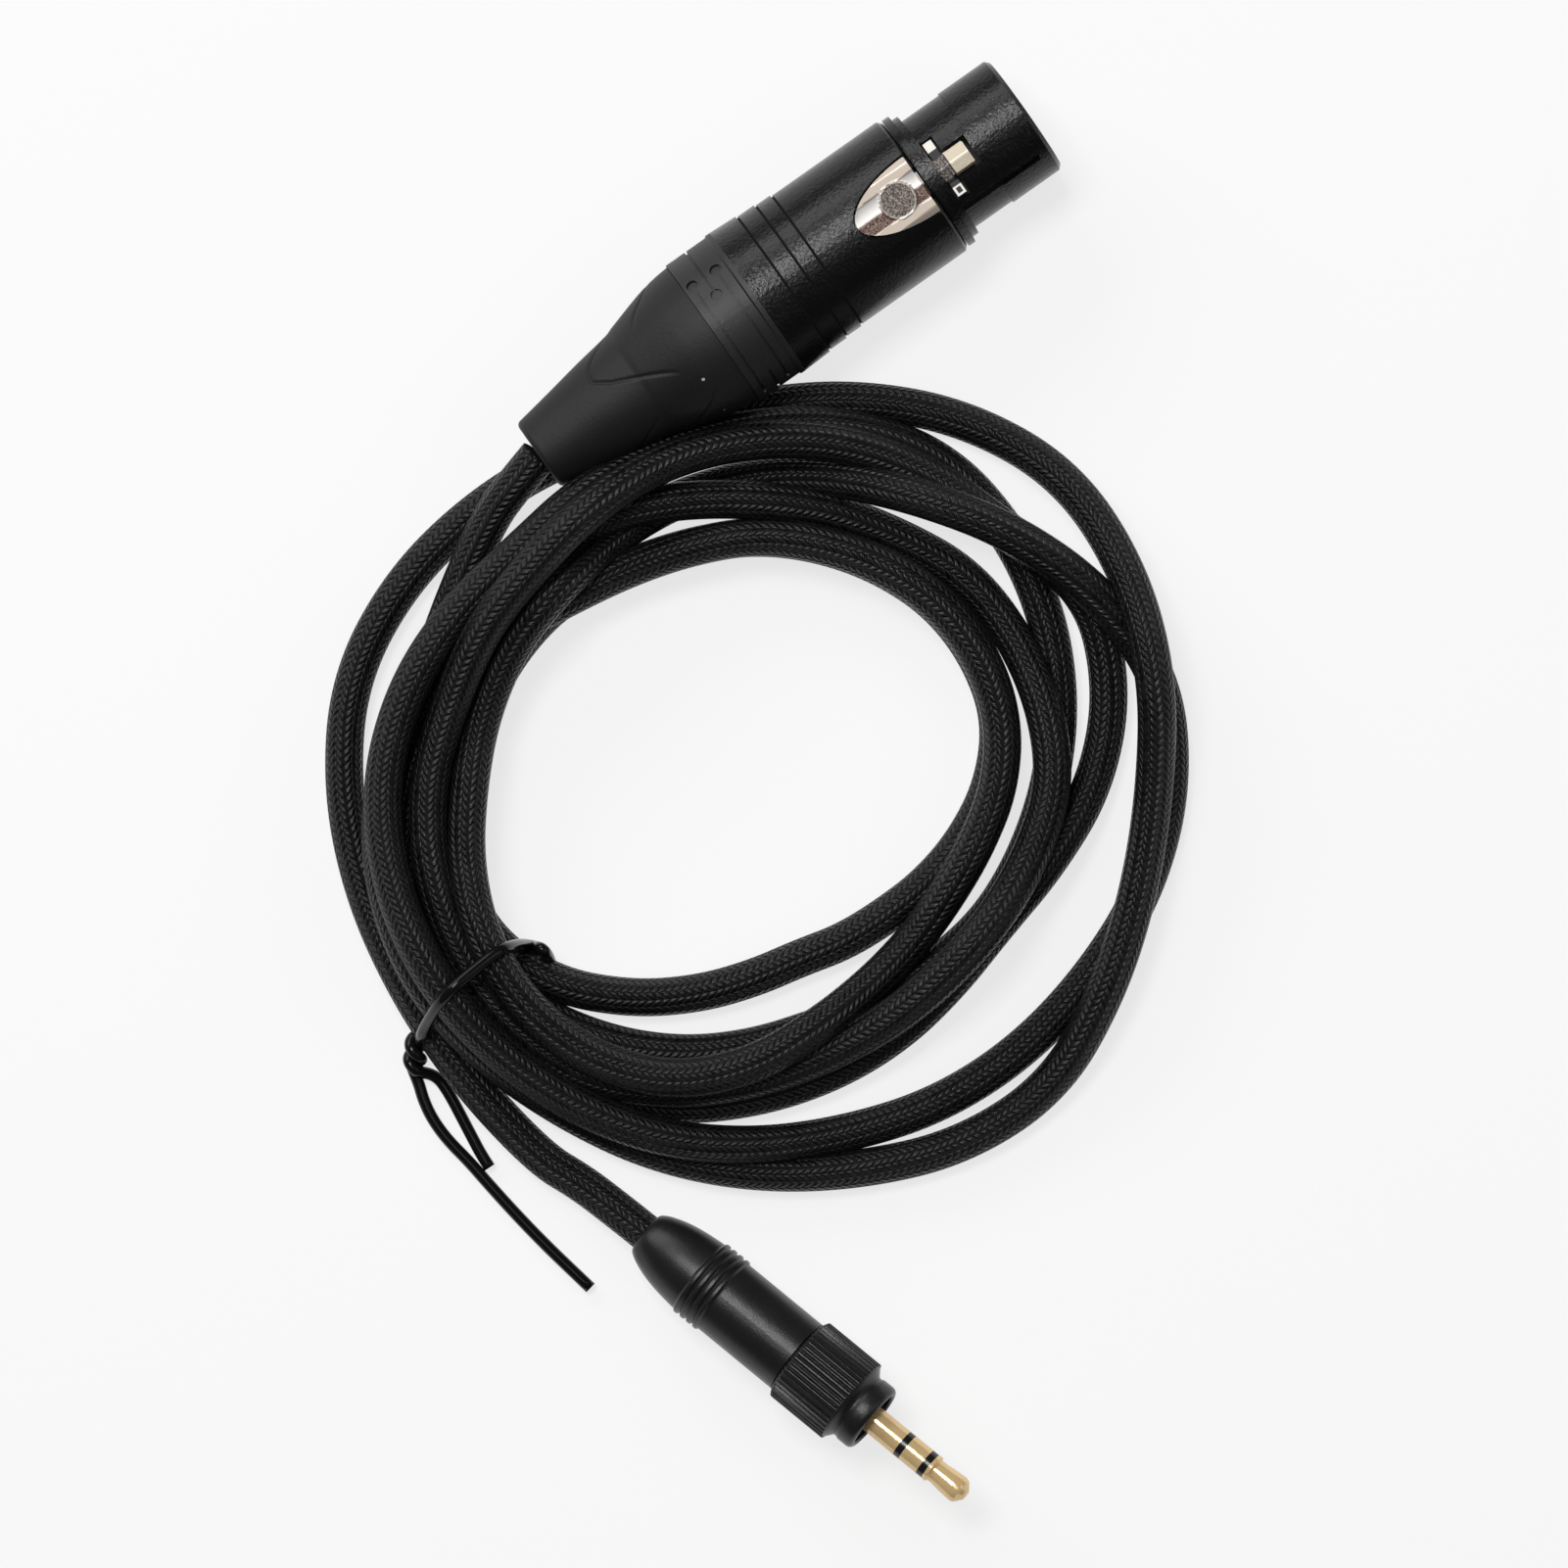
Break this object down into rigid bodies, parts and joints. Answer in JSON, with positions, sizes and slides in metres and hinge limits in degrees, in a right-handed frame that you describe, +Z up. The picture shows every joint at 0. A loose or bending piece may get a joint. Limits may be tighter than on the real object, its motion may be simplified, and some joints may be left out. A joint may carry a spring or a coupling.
{
  "type": "coiled microphone cord with XLR socket and locking jack plug",
  "caption": "Coiled black braided microphone cord with a latching XLR socket, a locking mini jack plug and a wire tie round the coil.",
  "frame": {"origin": "under the middle of the XLR socket's length, on the surface that it lies on", "axes": "+X along the socket towards its mating face, +Z up from the surface, +Y away from the coil"},
  "size_m": [0.1292, 0.1424, 0.0203],
  "materials": {
    "housing_black": "satin black coat on die-cast zinc, faint orange peel",
    "insert_black": "semi-matt black moulding, fine spark grain",
    "boot_rubber": "matt black moulded elastomer with raised contour ribs",
    "latch_chrome": "polished nickel plate with a fine-textured dimple",
    "spring_steel": "bright spring steel",
    "collet_grey": "pale grey moulding",
    "contact_gold": "gold plate on turned brass, polished",
    "plug_insulator": "gloss black ring",
    "jack_black": "black anodised, satin, with a straight knurl on the nut",
    "lead_red": "red conductor insulation",
    "lead_white": "white conductor insulation",
    "lead_bare": "twisted screen, tinned copper under a clear sleeve",
    "cord_braid": "soft black jacket under a woven black sleeve, slightly fuzzy",
    "tie_vinyl": "glossy black vinyl over a soft wire"
  },
  "bodies": {
    "root": {"socket_housing": "housing_black", "socket_insert": "insert_black", "boot_bushing": "insert_black", "rubber_boot": "boot_rubber", "latch_pin": "spring_steel", "latch_spring": "spring_steel", "ground_strip": "spring_steel", "nut_snap_ring": "spring_steel", "jack_ferrule": "spring_steel", "cord_collet": "collet_grey", "socket_contact_1": "contact_gold", "socket_contact_2": "contact_gold", "socket_contact_3": "contact_gold", "plug_sleeve": "contact_gold", "plug_ring": "contact_gold", "plug_tip": "contact_gold", "plug_rear_insulator": "plug_insulator", "plug_front_insulator": "plug_insulator", "jack_tail_cap": "jack_black", "jack_barrel": "jack_black", "socket_lead_2": "lead_red", "jack_lead_2": "lead_red", "socket_lead_3": "lead_white", "jack_lead_3": "lead_white", "socket_lead_1": "lead_bare", "jack_lead_1": "lead_bare", "cord_end_in_socket": "cord_braid", "cord_from_boot": "cord_braid", "cord_coil": "cord_braid", "cord_to_plug": "cord_braid", "cord_end_in_jack": "cord_braid", "wire_tie": "tie_vinyl"},
    "latch": {"push_latch": "latch_chrome"},
    "nut": {"locking_nut": "jack_black"}
  },
  "joints": [
    {"name": "latch_press", "type": "hinge", "parent": "root", "child": "latch", "pos_m": [0.0106, 0, 0.01625], "axis": [0, 1, 0], "range_deg": [0, 4.5], "stiffness_Nm_per_rad": 0.2, "springref_deg": -2.86, "deforming": ["latch_spring"]},
    {"name": "nut_spin", "type": "hinge", "parent": "root", "child": "nut", "pos_m": [-0.07219, -0.11122, 0.00828], "axis": [0.2681, -0.9506, 0.1564], "continuous": true}
  ]
}
